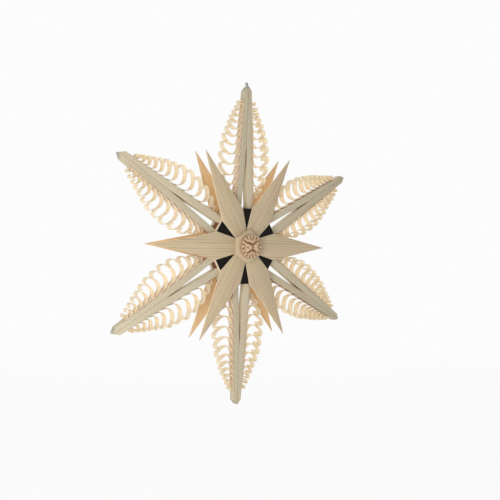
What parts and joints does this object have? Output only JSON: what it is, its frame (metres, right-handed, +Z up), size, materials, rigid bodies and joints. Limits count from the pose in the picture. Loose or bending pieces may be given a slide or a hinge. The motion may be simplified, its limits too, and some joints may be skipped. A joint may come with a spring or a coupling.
{
  "type": "wood shaving star ornament",
  "caption": "Hanging star of pale wood: paired shaved sticks with rows of curled shavings form its rays, round a hexagonal hub with pointed veneer petals and a small carved rosette.",
  "frame": {"origin": "middle of the hanging eye's hole, half way through the sticks' depth", "axes": "+Z up along the top ray, -Y towards the front with the rosette, +Y towards the flat back"},
  "size_m": [0.1732, 0.0225, 0.2023],
  "materials": {
    "stick_wood": "planed, unvarnished",
    "petal_wood": "unvarnished veneer",
    "plate_wood": "sawn plywood",
    "core_wood": "matt brown",
    "blossom_wood": "carved, matt",
    "black_face": "matt black stain",
    "dark_wire": "dull"
  },
  "bodies": {
    "root": {"hub_core": "core_wood", "front_plate": "plate_wood", "rear_plate": "plate_wood", "front_facing": "black_face", "rear_facing": "black_face", "front_cap": "petal_wood", "rear_cap": "petal_wood", "rosette": "blossom_wood", "hanging_eye": "dark_wire", "front_petal_1": "petal_wood", "front_petal_2": "petal_wood", "front_petal_3": "petal_wood", "front_petal_4": "petal_wood", "front_petal_5": "petal_wood", "front_petal_6": "petal_wood", "rear_petal_1": "petal_wood", "rear_petal_2": "petal_wood", "rear_petal_3": "petal_wood", "rear_petal_4": "petal_wood", "rear_petal_5": "petal_wood", "rear_petal_6": "petal_wood", "ray_1_left_stick": "stick_wood", "ray_1_right_stick": "stick_wood", "ray_2_left_stick": "stick_wood", "ray_2_right_stick": "stick_wood", "ray_3_left_stick": "stick_wood", "ray_3_right_stick": "stick_wood", "ray_4_left_stick": "stick_wood", "ray_4_right_stick": "stick_wood", "ray_5_left_stick": "stick_wood", "ray_5_right_stick": "stick_wood", "ray_6_left_stick": "stick_wood", "ray_6_right_stick": "stick_wood"}
  },
  "joints": []
}
